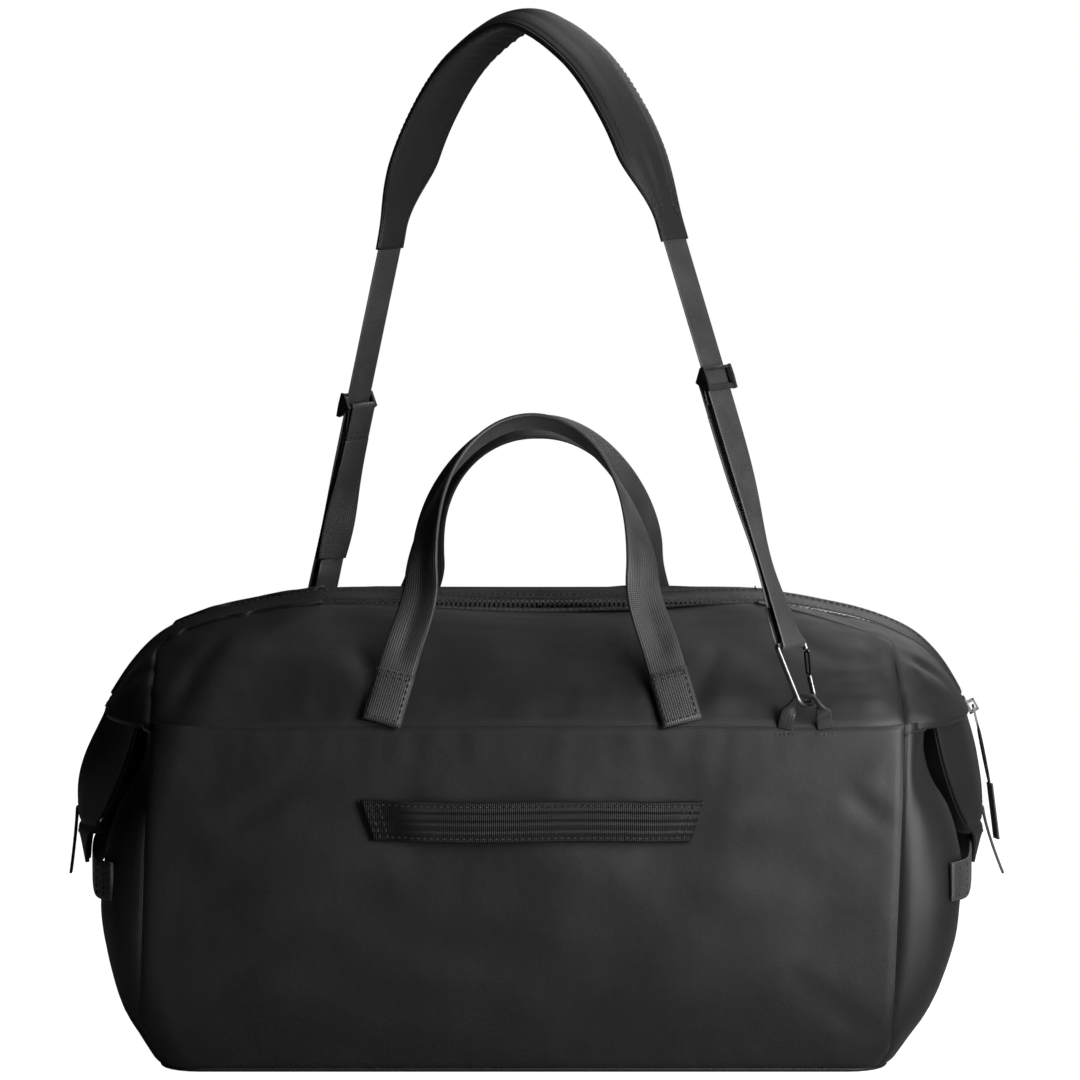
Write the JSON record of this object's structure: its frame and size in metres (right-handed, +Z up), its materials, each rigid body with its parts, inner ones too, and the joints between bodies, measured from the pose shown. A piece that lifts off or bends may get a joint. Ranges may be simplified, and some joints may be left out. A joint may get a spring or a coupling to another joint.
{
  "type": "weekender bag",
  "caption": "Soft rounded travel bag with a zipped top, webbing carry handles, end grips, a trolley-handle band and a padded clip-on shoulder strap.",
  "frame": {"origin": "middle of the flat underside, on the floor", "axes": "+X along the bag towards the zip slider's end, +Y towards the back (the trolley band is on -Y), +Z up"},
  "size_m": [0.6245, 0.2776, 0.6843],
  "materials": {
    "nylon": "fine black nylon weave, soft sheen",
    "webbing": "ribbed black nylon webbing",
    "pad": "foam-backed black nylon",
    "lining": "thin dark grey lining cloth",
    "board": "stiff black sheet",
    "zip_teeth": "moulded black teeth",
    "cord": "fine braided black cord",
    "dark_metal": "satin dark plated metal"
  },
  "bodies": {
    "shell": {"back_lower_panel": "nylon", "back_upper_panel": "nylon", "base_board": "board", "base_panel": "nylon", "clip_loop_left": "webbing", "clip_loop_right": "webbing", "end_grip_left": "webbing", "end_grip_right": "webbing", "end_gusset_left": "nylon", "end_gusset_right": "nylon", "end_panel_left": "nylon", "end_panel_right": "nylon", "front_lower_panel": "nylon", "front_upper_panel": "nylon", "grip_tab_left": "webbing", "grip_tab_right": "webbing", "lining": "lining", "trolley_band": "webbing", "zip_chain_left": "zip_teeth", "zip_chain_right": "zip_teeth", "zip_tail_left": "nylon", "zip_tail_right": "nylon", "zip_tape_back_left": "nylon", "zip_tape_back_right": "nylon", "zip_tape_front_left": "nylon", "zip_tape_front_right": "nylon"},
    "mouth_front": {"mouth_flap_front": "nylon", "mouth_teeth_front": "zip_teeth"},
    "mouth_back": {"mouth_flap_back": "nylon", "mouth_teeth_back": "zip_teeth"},
    "handle_front": {"handle_front": "webbing", "handle_anchor_front_left": "webbing", "handle_anchor_front_right": "webbing"},
    "handle_back": {"handle_back": "webbing", "handle_anchor_back_left": "webbing", "handle_anchor_back_right": "webbing"},
    "strap": {"strap_webbing_left": "webbing", "strap_webbing_right": "webbing", "strap_return_left": "webbing", "strap_return_right": "webbing", "hook_left": "dark_metal", "hook_right": "dark_metal", "shoulder_pad": "pad"},
    "adjuster_right": {"strap_adjuster_right": "dark_metal", "strap_end_loop_right": "webbing"},
    "adjuster_left": {"strap_adjuster_left": "dark_metal", "strap_end_loop_left": "webbing"},
    "gate_right": {"hook_gate_right": "dark_metal"},
    "gate_left": {"hook_gate_left": "dark_metal"},
    "zip_slider": {"zip_slider": "dark_metal"},
    "zip_pull": {"zip_pull": "dark_metal", "pull_cord": "cord", "pull_tab": "webbing"}
  },
  "joints": [
    {"name": "mouth_front_fold", "type": "hinge", "parent": "shell", "child": "mouth_front", "pos_m": [0, -0.033, 0.298], "axis": [1, 0, 0], "range_deg": [0, 100]},
    {"name": "mouth_back_fold", "type": "hinge", "parent": "shell", "child": "mouth_back", "pos_m": [0, 0.033, 0.298], "axis": [-1, 0, 0], "range_deg": [0, 100]},
    {"name": "handle_front_swing", "type": "hinge", "parent": "shell", "child": "handle_front", "pos_m": [0, -0.121, 0.2295], "axis": [1, 0, 0], "range_deg": [0, 180]},
    {"name": "handle_back_swing", "type": "hinge", "parent": "shell", "child": "handle_back", "pos_m": [0, 0.121, 0.2295], "axis": [-1, 0, 0], "range_deg": [0, 180]},
    {"name": "strap_swing", "type": "hinge", "parent": "shell", "child": "strap", "pos_m": [0.01306, -0.00123, 0.24929], "axis": [-0.7833, 0.6216, -0.0002], "range_deg": [-40, 40]},
    {"name": "adjuster_right_slide", "type": "slide", "parent": "strap", "child": "adjuster_right", "axis": [-0.2795, 0.2218, 0.9342], "range_m": [0, 0.06]},
    {"name": "adjuster_left_slide", "type": "slide", "parent": "strap", "child": "adjuster_left", "axis": [0.2037, -0.1617, 0.9656], "range_m": [0, 0.08]},
    {"name": "gate_right_spring", "type": "hinge", "parent": "strap", "child": "gate_right", "pos_m": [0.1792, -0.12006, 0.26214], "axis": [0.7318, -0.5807, 0.3568], "range_deg": [0, 24], "stiffness_Nm_per_rad": 0.02, "springref_deg": -20.05},
    {"name": "gate_left_spring", "type": "hinge", "parent": "strap", "child": "gate_left", "pos_m": [-0.14145, 0.1344, 0.26248], "axis": [0.7564, -0.6002, -0.2601], "range_deg": [0, 24], "stiffness_Nm_per_rad": 0.02, "springref_deg": -20.05},
    {"name": "zip_slider_run", "type": "hinge", "parent": "shell", "child": "zip_slider", "pos_m": [0.16, 0, 0.1538], "axis": [0, -1, 0], "range_deg": [0, 57]},
    {"name": "zip_pull_swing", "type": "hinge", "parent": "zip_slider", "child": "zip_pull", "pos_m": [0.29257, 0, 0.22429], "axis": [0, -1, 0], "range_deg": [0, 110]}
  ]
}
